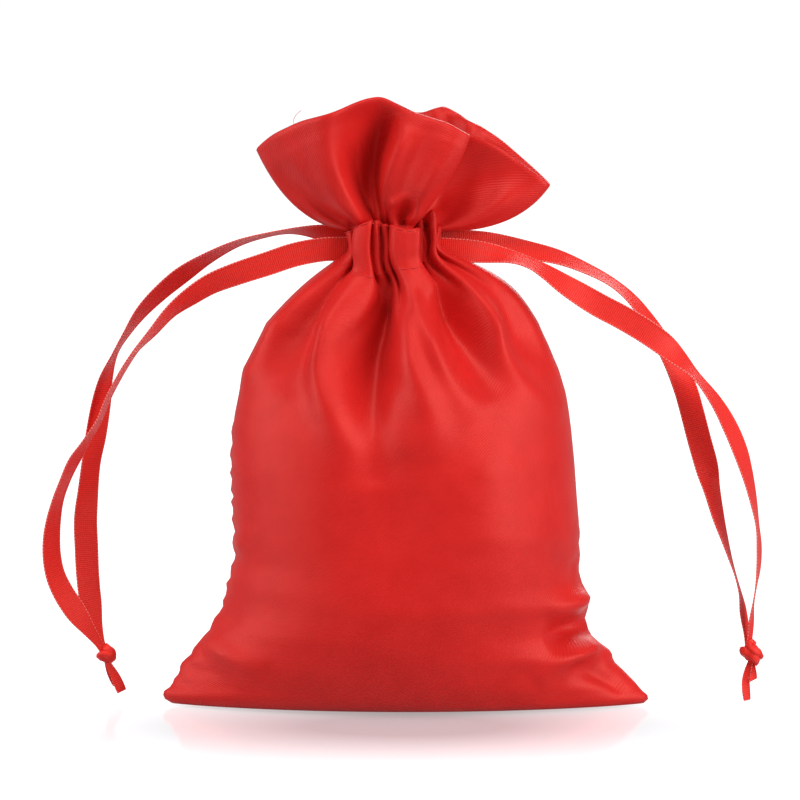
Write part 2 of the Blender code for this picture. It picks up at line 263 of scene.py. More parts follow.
loops = stripes(tree, uv.outputs["UV"], ribbon_loop_pitch, 90)
split = tree.nodes.new("ShaderNodeSeparateXYZ")
tree.links.new(uv.outputs["UV"], split.inputs[0])
off_middle = combine(tree, split.outputs["X"], 0.0, "ABSOLUTE")
near_edge = combine(tree, off_middle, selvedge_start * ribbon_width, "GREATER_THAN")
edge_loops = combine(tree, near_edge, loops.outputs["Fac"])
web = combine(tree, ribs.outputs["Fac"], combine(tree, warps.outputs["Fac"], 0.35), "ADD")
tree.links.new(combine(tree, web, 0.75), mix.inputs["Factor"])
selvedge = tree.nodes.new("ShaderNodeMix")
selvedge.data_type = "RGBA"
selvedge.inputs[7].default_value = (1.0, 0.42, 0.36, 1)
tree.links.new(combine(tree, edge_loops, 0.60), selvedge.inputs["Factor"])
tree.links.new(mix.outputs[2], selvedge.inputs[6])
tree.links.new(selvedge.outputs[2], shader.inputs["Base Color"])
bump(tree, shader, combine(tree, web, combine(tree, edge_loops, 1.6), "ADD"), 0.00003)

# Over its last tenth, each end is bunched up to go into the knot.
bunch_start = 0.90
bunch_end = 0.99
bunch_narrowing = 0.66
for name, route, node in (
        ("left_upper_ribbon_end", left_upper_route, "left_ribbon_upper_tail"),
        ("left_lower_ribbon_end", left_lower_route, "left_ribbon_lower_tail"),
        ("right_upper_ribbon_end", right_upper_route, "right_ribbon_upper_tail"),
        ("right_lower_ribbon_end", right_lower_route, "right_ribbon_lower_tail")):
    points = smooth_through(route, 0.0005)
    centres = points[:, :3]
    bunched = ease(bunch_start, bunch_end, np.linspace(0, 1, len(centres)))
    width = ribbon_width * (1 - bunch_narrowing * bunched)
    vertices, faces, uv_places = ribbon_strip(
        centres, turned_across(centres, points[:, 3]), width, ribbon_thickness)
    piece = mesh_piece(name, vertices, faces, uv_places)
    piece.data.materials.append(ribbon_cloth)
    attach(piece, "root")
    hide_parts(node)

# Knots. Both ends of a ribbon are tied together in one overhand knot, pulled tight
# into a lump, with the two cut ends left short below it. The wrap is in shares of the
# knot's spread, sideways, in depth and up.
knot_wrap = ((-0.2, 0.3, 2.7), (0.2, -1.2, 2.0), (1.5, -1.5, 0.9), (1.9, 0.2, -0.3),
             (0.7, 1.7, -0.9), (-1.2, 1.3, -0.8), (-2.0, -0.2, -0.1), (-1.1, -1.6, 0.5),
             (0.6, -1.9, 0.1), (1.5, -0.9, -1.0), (0.9, 0.5, -1.9), (0.2, 0.2, -2.6))


def join_parts(parts):
    """One set of vertices, faces and weave places from several."""
    vertices, faces, uv = [], [], []
    for v, f, t in parts:
        start = len(vertices)
        vertices += list(v)
        faces += [tuple(start + i for i in face) for face in f]
        uv += list(t)
    return vertices, faces, uv


def square_to(line):
    """Two directions square to a line, and to each other, at each of its points."""
    along = unit(np.gradient(line, axis=0))
    aside = unit(np.cross(along, np.array((0.31, 0.52, 0.79))))
    return aside, np.cross(along, aside)


def ribbon_roll(line, radius, sides=14):
    """A stretch of ribbon pulled so tight that it is rolled into a soft, creased cord."""
    radius = np.broadcast_to(radius, len(line)).copy()
    radius[0] = radius[-1] = radius.min() * 0.5
    vertices, uv = [], []
    for centre, aside, beside, wide, run in zip(line, *square_to(line), radius, run_along(line)):
        for k in range(sides):
            angle = 2 * math.pi * k / sides
            crease = 1 - 0.12 * math.cos(3 * angle + 400 * run) - 0.05 * math.cos(5 * angle - 700 * run)
            out = aside * math.cos(angle) + beside * math.sin(angle)
            vertices.append(centre + wide * crease * out)
            uv.append((0.0007 * math.cos(angle), 0.2 * run))
    return vertices, tube_faces(len(line), sides), uv


def knot_piece(name, node, centre, spread, turn, tips):
    """A knot of rolled ribbon. Tips are its cut ends: where each ends, its bend and width."""
    centre = np.array(centre)
    spin = np.array(Matrix.Rotation(math.radians(turn), 3, "Z"))
    wrap = centre + smooth_through([np.array(p) * spread for p in knot_wrap], 0.0002) @ spin.T
    parts = [ribbon_roll(wrap, 1.243 * spread)]
    core = centre + np.linspace(-1, 1, 11)[:, None] * np.array((0.2, 0, 2.4)) * spread
    fullness = np.sqrt(1 - np.linspace(-0.96, 0.96, 11) ** 2)
    parts.append(ribbon_roll(core, 2.1 * fullness * spread))
    for tip, bend, wide in tips:
        tip = np.array(tip)
        start = centre - np.array((0, 0, 0.0012))
        middle = (start + tip) / 2 + np.array(bend)
        line = smooth_through((start, middle, tip), 0.0003)
        twist = np.linspace(-0.9, 0.9, len(line))
        across = np.stack((np.cos(twist), np.sin(twist), np.full(len(line), 0.3)), axis=1)
        widths = wide * np.linspace(0.55, 1.0, len(line))
        parts.append(ribbon_strip(line, across, widths, ribbon_thickness))
    piece = mesh_piece(name, *join_parts(parts))
    piece.data.materials.append(ribbon_cloth)
    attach(piece, "root")
    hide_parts(node)
    return piece


left_knot = knot_piece(
    "left_knot", "left_ribbon_knot", (-.0625, .0122, .0086), 0.00066, 20,
    (((-.0593, .0118, .0010), (.0002, 0, 0), .0025), ((-.0604, .0126, .0024), (-.0002, .0003, 0), .0022)))
right_knot = knot_piece(
    "right_knot", "right_ribbon_knot", (.0713, .0014, .0106), 0.00080, -35,
    (((.0704, .0012, .0007), (-.0007, 0, 0), .0021), ((.0717, .0018, .0048), (-.0002, 0, 0), .0024)))

# Ribbon in the channel. The rest of each drawstring runs round the neck, out of sight
# between the cloth and its hem, with its two ends turned out at its own side. The two
# ribbons lie one above the other there, each bunched a little narrower than it is flat.
neck_centre = -0.0024
channel_ribbon_width = 0.0040
for name, node, side, height in (("left_channel_ribbon", "left_ribbon_loop", -1, 0.09645),
                                 ("right_channel_ribbon", "right_ribbon_loop", 1, 0.09215)):
    turn = np.radians(np.linspace(14, 346, 31))
    line = np.stack((neck_centre + side * 0.0060 * np.cos(turn), -0.0038 * np.sin(turn),
                     np.full(31, height)), axis=1)
    before = np.array([(side * 0.0078 + neck_centre, line[0, 1] - 0.0002, height)])
    after = before * np.array((1, -1, 1))
    line = smooth_through(np.concatenate((before, line, after)), 0.0006)
    upright = np.broadcast_to(np.array((0.0, 0.0, 1.0)), line.shape)
    vertices, faces, places = ribbon_strip(line, upright, channel_ribbon_width, ribbon_thickness)
    piece = mesh_piece(name, vertices, faces, places)
    piece.data.materials.append(ribbon_cloth)
    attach(piece, "root")
    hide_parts(node)

# Pouch cloth. One piece of red polyester satin, folded at the bottom and sewn up both
# sides. Its top is turned over into a deep hem, stitched twice to make the channel. The
# pulled ribbons pleat the neck; folds run down into the belly and up into the ruffle.
around = 256
share = np.arange(around) / around        # 0 at the left seam, 0.5 at the right seam
girth = 0.208
cloth_thickness = 0.0003
neck_width = 0.0188
neck_depth = 0.0165

# Body stations in millimetres: height, left edge, right edge, depth to the front and
# to the back, and how pointed the section is at its seams.
body = np.array((
    (0.3, -48.2, 49.0, 12.6, 14.6, 1.7), (0.9, -49.5, 49.9, 13.6, 15.6, 1.7),
    (1.8, -50.1, 50.0, 14.6, 16.6, 1.7),
    (2.8, -49.9, 48.8, 15.6, 17.6, 1.7), (4.3, -48.0, 47.6, 16.8, 18.8, 1.65),
    (6.3, -47.1, 45.4, 18.2, 20.0, 1.6), (8.7, -45.9, 43.2, 19.6, 21.2, 1.55),
    (11.0, -44.3, 42.2, 20.8, 22.2, 1.5), (13.4, -42.0, 39.2, 21.8, 23.0, 1.45),
    (15.8, -40.6, 37.2, 22.6, 23.6, 1.4), (19.0, -38.4, 37.0, 23.4, 24.2, 1.35),
    (21.8, -37.3, 37.8, 24.0, 24.6, 1.3), (25.5, -36.6, 35.9, 24.5, 24.8, 1.25),
    (30.0, -35.3, 35.6, 24.8, 24.9, 1.2), (36.0, -35.4, 35.7, 24.8, 24.8, 1.15),
    (43.0, -35.7, 35.1, 24.4, 24.4, 1.15), (50.0, -35.9, 34.6, 23.8, 23.8, 1.1),
    (57.0, -35.7, 33.9, 22.6, 22.6, 1.1), (64.5, -34.3, 32.9, 20.6, 20.6, 1.05),
    (69.3, -33.7, 31.9, 19.0, 19.0, 1.0), (74.1, -31.2, 30.2, 17.2, 17.2, 1.0),
    (78.0, -29.1, 28.3, 15.6, 15.6, 1.0), (82.0, -24.8, 25.4, 13.8, 13.8, 1.0),
    (84.0, -22.0, 23.2, 12.4, 12.4, 1.0), (86.0, -19.5, 20.6, 10.8, 10.8, 1.0),
    (88.4, -15.4, 14.8, 8.9, 8.9, 1.0), (89.4, -12.2, 8.2, 8.25, 8.25, 1.0)))

# The gathered neck: share of the way round, place across, place in depth, and the heights
# of the lower and upper stitch rows, in millimetres. Each pleat is a flat lobe that
# stands in front of deep valleys; some lobes lean over their neighbours.
neck = np.array((
    (0, -11.7, .2, 93.2, 97.4), (.014, -11.9, -2.2, 92.8, 97.4), (.034, -11.6, -4.6, 92.0, 97.5),
    (.052, -10.4, -5.6, 91.2, 97.9), (.062, -9.9, -1.6, 90.6, 97.2), (.074, -10.5, -6.0, 90.2, 98.0),
    (.092, -9.6, -7.4, 89.6, 98.8), (.112, -7.6, -8.2, 88.9, 99.6), (.126, -6.4, -8.1, 88.7, 100.0),
    (.140, -7.4, -3.0, 89.2, 98.2), (.154, -6.6, -6.4, 89.4, 98.9), (.170, -5.5, -6.8, 89.6, 99.0),
    (.184, -4.9, -3.0, 89.9, 98.4), (.198, -5.0, -6.2, 89.9, 98.9), (.214, -4.1, -6.6, 90.2, 99.0),
    (.226, -3.4, -6.0, 90.3, 98.6), (.240, -3.8, -2.4, 90.4, 98.0), (.254, -3.2, -8.2, 90.6, 99.0),
    (.272, -2.2, -9.2, 90.8, 98.6), (.300, .2, -9.4, 91.0, 98.0), (.326, 2.3, -8.8, 91.2, 98.3),
    (.340, 2.8, -7.8, 91.1, 98.3), (.356, 1.6, -2.6, 90.8, 97.2), (.372, 2.8, -4.6, 90.8, 97.4),
    (.384, 3.6, -4.8, 91.0, 97.8), (.394, 3.9, -2.4, 91.1, 98.4), (.406, 4.3, -6.4, 91.2, 100.6),
    (.418, 5.2, -7.0, 91.4, 102.4), (.430, 5.9, -6.2, 91.6, 100.6), (.442, 5.2, -1.8, 92.4, 98.2),
    (.456, 5.9, -4.8, 93.0, 98.2), (.474, 6.9, -3.6, 93.4, 98.6), (.5, 7.0, 0, 93.3, 98.0),
    (.514, 6.9, 2.8, 92.4, 98.0), (.532, 5.8, 4.8, 91.2, 98.2), (.546, 5.0, 1.0, 90.6, 97.6),
    (.560, 5.4, 5.8, 90.2, 98.4), (.590, 3.2, 7.6, 89.8, 99.0), (.606, 1.8, 2.4, 90.0, 97.8),
    (.620, 2.6, 7.0, 90.0, 98.4), (.655, -.2, 8.4, 89.4, 98.8), (.672, -1.6, 2.4, 90.0, 97.6),
    (.688, -.8, 7.4, 90.2, 98.2), (.718, -3.2, 8.1, 89.8, 99.2), (.734, -4.6, 2.0, 90.2, 98.0),
    (.750, -3.9, 7.3, 90.0, 98.4), (.786, -6.2, 7.2, 89.4, 98.8), (.806, -7.4, 1.8, 90.0, 97.8),
    (.822, -6.9, 6.4, 90.0, 98.2), (.860, -9.0, 6.2, 90.2, 98.6), (.880, -9.9, 1.4, 91.0, 97.6),
    (.898, -9.8, 5.2, 91.2, 98.0), (.936, -11.2, 4.1, 91.8, 98.2), (.954, -10.6, 1.0, 92.4, 97.4),
    (.972, -11.7, 3.0, 92.8, 97.4), (1, -11.7, .2, 93.2, 97.4)))


def body_ring(height):
    """The plain section at a height, evenly spaced by cloth length round each half."""
    row = [np.interp(height * 1000, body[:, 0], body[:, k]) for k in range(1, 6)]
    left, right, front, back = (value / 1000 for value in row[:4])
    middle, half = (left + right) / 2, (right - left) / 2
    dense = np.linspace(0, np.pi, 400)
    made = np.zeros((around, 2))
    for start, depth, sign in ((0, front, -1), (around // 2, back, 1)):
        x = middle + sign * half * np.cos(dense)
        y = sign * depth * np.abs(np.sin(dense)) ** row[4]
        run = np.concatenate(([0], np.cumsum(np.hypot(np.diff(x), np.diff(y)))))
        want = np.linspace(0, run[-1], around // 2 + 1)[:-1]
        rows = slice(start, start + around // 2)
        made[rows, 0] = np.interp(want, run, x)
        made[rows, 1] = np.interp(want, run, y)
    return made


def soften(ring, passes):
    """Each point of a closed ring drawn towards its neighbours, several times over."""
    for _ in range(passes):
        ring = 0.25 * np.roll(ring, 1, axis=0) + 0.5 * ring + 0.25 * np.roll(ring, -1, axis=0)
    return ring


def neck_ring(column, passes=2):
    """The neck's pleated ring at a stitch row: column 3 is the lower row, 4 the upper."""
    return soften(np.stack([np.interp(share, neck[:, 0], neck[:, k])
                            for k in (1, 2, column)], axis=1), passes) / 1000


# Folds of the belly's front, in millimetres: a line down the cloth, how far it stands
# out (or in, when negative) and how wide it is.
front_folds = (
    (((-9.5, 90), (-12.2, 86.0), (-14.5, 82), (-16.0, 76.4), (-16.4, 69.4), (-15.0, 63.0), (-11.5, 56.5),
      (-7.6, 49)), 4.2, 2.8),
    (((-5.4, 88), (-6.6, 84), (-7.8, 79), (-8.8, 72)), 1.6, 1.8),
    (((-3.9, 88), (-5.4, 80), (-7.2, 72), (-7.6, 64), (-7.4, 56), (-7.0, 47)), -7.6, 3.3),
    (((-2.4, 90), (-2.0, 84), (-1.0, 78), (.4, 72), (3.2, 65.5), (4.8, 59.5), (4.0, 52)), 3.6, 2.7),
    (((3.2, 87), (3.6, 82), (4.8, 77)), -2.2, 1.6),
    (((2.4, 84), (4.2, 79), (7.0, 73.0), (11, 66.5), (16, 60.5)), 2.4, 2.2),
    (((7.0, 84.5), (10.0, 78.5), (13.4, 71.5), (18, 64.5)), -4.4, 3.0),
    (((5.2, 91), (8.8, 88), (13.2, 84.6), (16.4, 80.3), (18.0, 74.5), (21, 69.5), (26, 64.8), (33, 61.6)),
     2.8, 2.4),
    (((20.8, 87), (23.4, 80), (25.4, 74.5), (29.6, 69.5), (34, 67)), -2.2, 3.6),
    (((-12.8, 91), (-19.5, 85.4), (-24.4, 80), (-28, 75), (-32, 69), (-34, 64)), 2.2, 1.9),
    (((-15.6, 86), (-19.4, 79), (-22.4, 72), (-25.4, 65)), -2.8, 3.0),
    (((-4, 47), (-4, 36), (-5, 22)), -2.2, 10),
    (((17, 50), (18, 36), (17, 20)), 1.4, 8),
    (((41.5, 13.8), (36.5, 12.6), (31.5, 10.5), (26, 6.5)), 2.5, 1.7),
    (((37.5, 17.3), (33.5, 16.6), (28, 15.4)), -2.9, 1.6),
    (((38.5, 23.2), (34, 22.2), (29, 19.5)), 2.3, 1.8),
    (((36, 28.5), (32, 30.5), (28, 36)), -0.7, 2.4),
    (((44, 4.2), (38, 7.6), (32, 8.4)), -1.5, 1.4),
    (((-44, 13), (-40, 13.4), (-34, 10.8), (-28, 9)), 1.4, 1.7),
    (((-41, 17), (-37, 18.2), (-33, 18.4)), -0.8, 1.5),
    (((-45.5, 8.5), (-39, 7.2), (-33, 6.8)), -0.8, 1.7),
    (((-36.6, 33), (-33.4, 34.6), (-31.4, 38.5)), 0.6, 1.3))
back_folds = (
    (((6, 90), (11, 84), (16, 75), (22, 64)), 1.2, 2.4),
    (((1, 89), (2, 78), (5, 62)), -1.6, 3.0),
    (((-3, 90), (-4, 80), (-3, 66), (2, 54)), 1.3, 2.4),
    (((-8, 88), (-12, 78), (-14, 66)), -1.5, 3.2),
    (((-11, 89), (-17, 82), (-22, 72), (-27, 60)), 1.2, 2.2),
    (((13, 86), (20, 78), (25, 68)), -1.0, 2.6))


def fold_lift(x, z, folds, fading=1.8):
    """How far the cloth stands out at x, z (millimetres) because of the drawn folds."""
    lift = np.zeros_like(x)
    for line, height, width in folds:
        line = smooth_through(line, 1.0)
        a, b = line[:-1], line[1:]
        step = b - a
        rel = np.stack((x, z), -1)[..., None, :] - a
        t = np.clip(np.sum(rel * step, -1) / np.sum(step * step, -1), 0, 1)
        away = np.linalg.norm(rel - t[..., None] * step, axis=-1)
        nearest = away.argmin(-1)
        far = np.take_along_axis(away, nearest[..., None], -1)[..., 0]
        place = (nearest + np.take_along_axis(t, nearest[..., None], -1)[..., 0]) / len(a)
        fade = np.minimum(1, (1 - place) * fading) if fading else 1.0
        spread = width * (0.75 + 0.9 * place)
        lift += height * fade * np.exp(-(far / spread) ** 2)
    return lift


def ring_table(rows):
    """A closed ring read from rows of share, x, y, z in millimetres, softened a little."""
    rows = np.array(rows, float)
    return soften(np.stack([np.interp(share, rows[:, 0], rows[:, k]) for k in (1, 2, 3)], 1), 9) / 1000


ruffle_middle = ring_table((
    (0, -21.5, -.5, 101.2), (.03, -20.3, -4, 103), (.07, -17, -7.5, 106.5), (.11, -12.6, -8.7, 109.5),
    (.145, -9.8, -6.2, 110.5), (.17, -7.6, -3.2, 111), (.2, -5.6, -1.2, 111), (.225, -5.2, -6.8, 110.3),
    (.25, -2.4, -9.9, 109.8), (.28, 3, -10.5, 109.5), (.31, 7.4, -10.6, 108.5), (.325, 9.8, -8.2, 108),
    (.345, 6.2, -4.4, 108), (.38, 4.2, -1.2, 107.5), (.41, 7.2, 0.4, 106), (.45, 14, -2, 102.5),
    (.48, 18, -1.5, 100), (.5, 20, 0, 98.8), (.53, 18.5, 3, 101.5), (.57, 14, 5.5, 105),
    (.61, 10.5, 4.5, 107.5), (.635, 8.5, 2.8, 108), (.66, 7.5, 5.5, 109), (.69, 5, 6.5, 110),
    (.71, 3.5, 4.5, 110), (.74, 2, 7, 110), (.79, -3.5, 8, 110), (.84, -9, 6, 109.5),
    (.89, -14, 7, 108), (.94, -18.4, 5, 104.5), (.97, -20.8, 2.5, 102.2), (1, -21.5, -.5, 101.2)))
ruffle_edge = ring_table((
    (0, -31.2, 0, 113.7), (.03, -27.5, -5, 117), (.07, -21.5, -9.5, 119.9), (.11, -14.5, -12, 121.6),
    (.145, -8.9, -11.2, 124), (.17, -5.2, -8.4, 124.9), (.2, -1.8, -6, 123.2), (.235, 2.2, -8.8, 121.6),
    (.28, 8.8, -11, 119.6), (.31, 12.6, -10.5, 117.3), (.325, 13.6, -9, 116.9), (.345, 10.6, -6.2, 117.8),
    (.38, 6, -3, 120.2), (.41, 8.6, -0.6, 119), (.45, 19, -2.5, 114.5), (.48, 26, -1.5, 109.5),
    (.5, 30.6, 0, 105.8), (.53, 26.5, 4, 109.8), (.57, 20, 7, 115.5), (.61, 15, 6, 118.8),
    (.635, 13.2, 3.5, 119.4), (.66, 11.5, 7, 120.9), (.69, 7.6, 8.5, 122.9), (.71, 6, 6, 122.2),
    (.74, 3.5, 9.5, 121.2), (.79, -4, 11, 122), (.84, -11, 8, 120.8), (.89, -18, 10, 118.6),
    (.94, -25, 7, 116.2), (.97, -29, 3.5, 114.8), (1, -31.2, 0, 113.7)))

rows = []
for scale in (0.05, 0.2, 0.4, 0.6, 0.75, 0.88, 0.96):
    plan = body_ring(0.0003) * scale
    rows.append(np.column_stack((plan, np.full(around, 0.00028))))
heights = np.concatenate((np.arange(0.3, 12, 0.85), np.arange(12, 88.9, 1.2))) / 1000
low_row, high_row = neck_ring(3), neck_ring(4)
flat_row = neck_ring(3, 60)
# Below the neck the narrow pleats run out first: each ring here is smoother than the last.
merged_rows = [neck_ring(3, passes) for passes in (2, 12, 24, 40, 60)]
middle = np.array((neck_centre, 0.0))
for height in heights:
    near_neck = ease(0.060, 0.0900, height)
    deep = ease(0.062, 0.0895, height)
    left, right, front, back = (
        np.interp(height * 1000, body[:, 0], body[:, k]) / 1000 for k in (1, 2, 3, 4))
    wider = (right - left) / neck_width - 1
    deeper = (front + back) / neck_depth
    merge = (1 - deep) ** 0.24 * (len(merged_rows) - 1.001)
    part = merge % 1
    merged = merged_rows[int(merge)] * (1 - part) + merged_rows[int(merge) + 1] * part
    pleated = flat_row[:, :2] + (merged - flat_row)[:, :2] * (0.1 + 0.9 * deep)
    off_middle = pleated - middle
    off_middle[:, 0] *= 1 + wider * (off_middle[:, 0] / (neck_width / 2)) ** 2
    off_middle[:, 1] *= deeper
    pleated = off_middle + np.array(((left + right) / 2, 0.0))
    plan = body_ring(height) * (1 - near_neck) + pleated * near_neck
    droop = (low_row[:, 2] - 0.0900) * near_neck ** 3
    rows.append(np.column_stack((plan, height + droop)))
first_channel_row = len(rows)
channel_rows = 13
for step in np.linspace(0, 1, channel_rows):
    puff = 1 + 0.06 * math.sin(math.pi * step) ** 0.7 - 0.02 * (1 - step) + 0.05 * step ** 4
    ring = low_row * (1 - step) + high_row * step
    ring[:, 0] += 0.0005 * np.sin(2 * np.pi * (5.3 * share + 0.2)) * math.sin(math.pi * step)
    rows.append(np.column_stack(((ring[:, :2] - middle) * puff + middle, ring[:, 2])))
last_channel_row = len(rows) - 1
rows.append(high_row + np.array((0, 0, 0.00035)))
base = high_row.copy()
base[:, :2] = (flat_row[:, :2] * 0.35 + high_row[:, :2] * 0.65 - middle) * 0.72 + middle
base[:, 2] = high_row[:, 2] * 0.5 + 0.0981 * 0.5 - 0.0003
ruffle_rows = 37
for t in np.linspace(0, 1, ruffle_rows):
    a = (1 - t) * (1 - 2 * t)
    b = 4 * t * (1 - t)
    c = t * (2 * t - 1)
    rows.append(a * base + b * ruffle_middle + c * ruffle_edge)
grid = np.array(rows)
for _ in range(9):      # the cloth bends softly through the lower stitch row
    part = grid[first_channel_row - 9:first_channel_row + 6]
    part[1:-1] = 0.25 * part[:-2] + 0.5 * part[1:-1] + 0.25 * part[2:]

# Soft ridges that fan out from the neck up into the ruffle, deepest half way up.
up = np.clip((np.arange(len(grid)) - last_channel_row - 1) / (ruffle_rows - 1), 0, 1)[:, None]
fan_depth = 0.0007
fan = (0.55 * np.sin(2 * np.pi * (15 * share + 0.3 * up) + 1.2)
       + 0.35 * np.sin(2 * np.pi * (26 * share - 0.5 * up))
       + 0.25 * np.sin(2 * np.pi * (41 * share + 0.4 * up) + 2.0))
grid[..., 1] += fan_depth * fan * np.clip(np.sin(np.pi * up), 0, 1) ** 0.8 * (1 - 0.5 * up)

# The ruffle's own drawn folds, in millimetres like the belly's.
ruffle_folds = (
    (((-10.9, 99), (-15.4, 101.3), (-20.7, 105), (-25.5, 108.8)), -2.2, 1.5),
    (((-9.4, 100), (-13.3, 106.0), (-15.6, 112.5), (-16.6, 120), (-16.8, 123)), 3.2, 2.8),
    (((-12.2, 99.4), (-18, 106), (-23, 113), (-25, 117)), 0.9, 1.8),
    (((-7.2, 100), (-8.6, 107), (-9.4, 113), (-8.6, 119)), -3.2, 2.6),
    (((-5.2, 100.5), (-5.0, 106.6), (-3.4, 111.5), (-1.8, 116.5), (-2.8, 122)), 2.2, 1.8),
    (((-.4, 99), (-.8, 101), (.8, 103.2)), -2.8, 1.2),
    (((-2.6, 103.4), (-.2, 104.6), (1.8, 103.4), (2.6, 101)), 1.2, 0.9),
    (((1.4, 104), (5.0, 109), (9.4, 115.5)), 1.6, 2.2))
x_mm, z_mm = grid[..., 0] * 1000, grid[..., 2] * 1000
wing_folds = (
    (((7, 98.5), (13, 100.2), (20, 103.5), (28, 106.8)), 1.8, 2.6),
    (((7, 103), (12, 107.5), (19, 110.5), (24, 111)), -2.4, 3.8),
    (((6, 108), (11, 114), (16, 117)), 1.4, 2.6))
hem_line = 0.28 * np.exp(-((up - 0.93) / 0.018) ** 2)     # faint ridge under the turned edge
ruffle_front = (share < 0.345)[None, :] & (np.arange(len(grid)) > last_channel_row + 1)[:, None]
raised = np.where(ruffle_front, fold_lift(x_mm, z_mm, ruffle_folds, 0.0), 0.0)
wing = np.clip(np.minimum(share - 0.39, 0.5 - share) / 0.03, 0, 1)[None, :] * (up > 0)
raised += wing * fold_lift(x_mm, z_mm, wing_folds, 0.0)
raised -= np.where(ruffle_front, hem_line, 0.0)
grid[..., 1] -= raised / 1000 * np.clip(share / 0.03, 0, 1) * (1 - 0.35 * up)

# The hem: the cloth turns over the ruffle's edge and comes back down inside it, through
# the channel, to the lower stitch row.
hem_gap = 0.00075
ruffle = grid[last_channel_row + 2:]
round_way = np.roll(ruffle, -1, axis=1) - np.roll(ruffle, 1, axis=1)
up_way = np.gradient(ruffle, axis=0)
face_out = unit(np.cross(round_way, up_way))
face_out = unit(soften(face_out.transpose(1, 0, 2), 4).transpose(1, 0, 2))
inner = ruffle - face_out * hem_gap
inner = soften(inner.transpose(1, 0, 2), 5).transpose(1, 0, 2)
turned = [ruffle[-1] - face_out[-1] * hem_gap * 0.47 + unit(up_way[-1]) * 0.0003]
for r in range(len(ruffle) - 1, 0, -2):
    turned.append(inner[r])
for step in np.linspace(1, 0, 7):
    ring = low_row * (1 - step) + high_row * step
    turned.append(np.column_stack(((ring[:, :2] - middle) * 0.72 + middle, ring[:, 2])))
grid = np.concatenate((grid, np.array(turned)))

# The drawn folds, the puckers along the side seams and the droop of the stitch rows.
x_mm, z_mm = grid[..., 0] * 1000, grid[..., 2] * 1000
in_body = (np.arange(len(grid)) < first_channel_row)[:, None] & (z_mm > 0.6)
near_top = 1 - 0.9 * ease(79, 90.5, z_mm)
front = (share < 0.5)[None, :] & in_body
lift = np.where(front, fold_lift(x_mm, z_mm, front_folds), 0.0)
lift += np.where(in_body & ~front, fold_lift(x_mm, z_mm, back_folds), 0.0)
outward = np.stack((grid[..., 0] / 0.036 ** 2, grid[..., 1] / 0.025 ** 2, np.zeros_like(lift)), -1)
outward = unit(outward + 1e-9)
seam_fade = np.clip(np.minimum.reduce((share, np.abs(share - .5), 1 - share)) / 0.03, 0, 1)[None, :]
grid[..., :3] += outward * (lift / 1000 * seam_fade * near_top)[..., None]

seam_distance = np.minimum(share, 1 - share) * girth, np.abs(share - 0.5) * girth
# Each seam's puckers: distance from it, pitch, size, lowest and highest, and side.
puckers = ((seam_distance[0], 3.9, 0.75, 2, 62, -1), (seam_distance[1], 4.6, 0.5, 2, 40, 1))
for distance, pitch, size, low, high, side in puckers:
    wobble = 0.9 * np.sin(z_mm * 0.31 + side) + 0.5 * np.sin(z_mm * 0.13)
    scallop = np.abs(np.sin(np.pi * (z_mm + wobble) / pitch)) - 0.55
    tall = ease(low, low + 4, z_mm) * (1 - ease(high - 12, high, z_mm))
    reach = np.exp(-(distance[None, :] / 0.0022) ** 2)
    grid[..., 0] += side * scallop * size / 1000 * tall * reach * in_body
    ripple = np.sin(2 * np.pi * (z_mm + wobble + 500 * distance[None, :]) / pitch)
    ring = np.exp(-((distance[None, :] - 0.004) / 0.0035) ** 2)
    grid[..., 1] += np.sign(grid[..., 1]) * ripple * 0.00022 * tall * ring * in_body

# Each side seam is left open between the stitch rows, and the ribbon comes out there.
exit_half_width = 0.0021
at_exit = np.minimum(*seam_distance) < exit_half_width
faces = []
for r in range(len(grid) - 1):
    in_channel = first_channel_row < r < last_channel_row - 2
    for c in range(around):
        if in_channel and at_exit[c]:
            continue
        after = (c + 1) % around
        faces.append((r * around + c, r * around + after,
                      (r + 1) * around + after, (r + 1) * around + c))
faces.append(tuple(range(around - 1, -1, -1)))
run = np.concatenate((np.zeros((1, around)),
                      np.cumsum(np.linalg.norm(np.diff(grid, axis=0), axis=2), axis=0)))
weave_run = run.mean(axis=1)
weave = [(share[c] * girth, weave_run[r]) for r in range(len(grid)) for c in range(around)]
pouch = mesh_piece("pouch_satin", grid.reshape(-1, 3), faces, weave)

# The satin's finish: a fine diagonal twill, a soft red shine and a slightly uneven dye.
satin_red = (0.68, 0.020, 0.017)
satin_deep_red = (0.52, 0.009, 0.008)
twill_pitch = 0.00046
satin, tree, shader, uv, mix = weave_nodes("red_satin", satin_red, satin_deep_red, 0.40)
shader.inputs["Specular Tint"].default_value = (1.0, 0.26, 0.22, 1.0)
shader.inputs["Specular IOR Level"].default_value = 0.6
shader.inputs["Sheen Weight"].default_value = 0.04
shader.inputs["Sheen Roughness"].default_value = 0.35
shader.inputs["Sheen Tint"].default_value = (1.0, 0.35, 0.3, 1.0)
twill = stripes(tree, uv.outputs["UV"], twill_pitch, 52, 0.6)
clouds = tree.nodes.new("ShaderNodeTexNoise")
clouds.inputs["Scale"].default_value = 140.0
tree.links.new(uv.outputs["UV"], clouds.inputs["Vector"])
tone = combine(tree, combine(tree, twill.outputs["Fac"], 0.25),
                combine(tree, clouds.outputs["Fac"], 0.9), "ADD")
tree.links.new(tone, mix.inputs["Factor"])
bump(tree, shader, twill.outputs["Fac"], 0.000026)
pouch.data.materials.append(satin)
wall = pouch.modifiers.new("cloth", "SOLIDIFY")
wall.thickness = cloth_thickness
wall.offset = -1
bpy.context.view_layer.objects.active = pouch
bpy.ops.object.modifier_apply(modifier=wall.name)
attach(pouch, "root")
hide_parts("pouch_cloth")

# Sewing thread. Two rows of lockstitch hold the channel, one above and one below it;
# a stray end of thread stands up at the left of the ruffle.
thread_radius = 0.00011
stitch_pitch = 0.0021
stitch_length = 0.0014


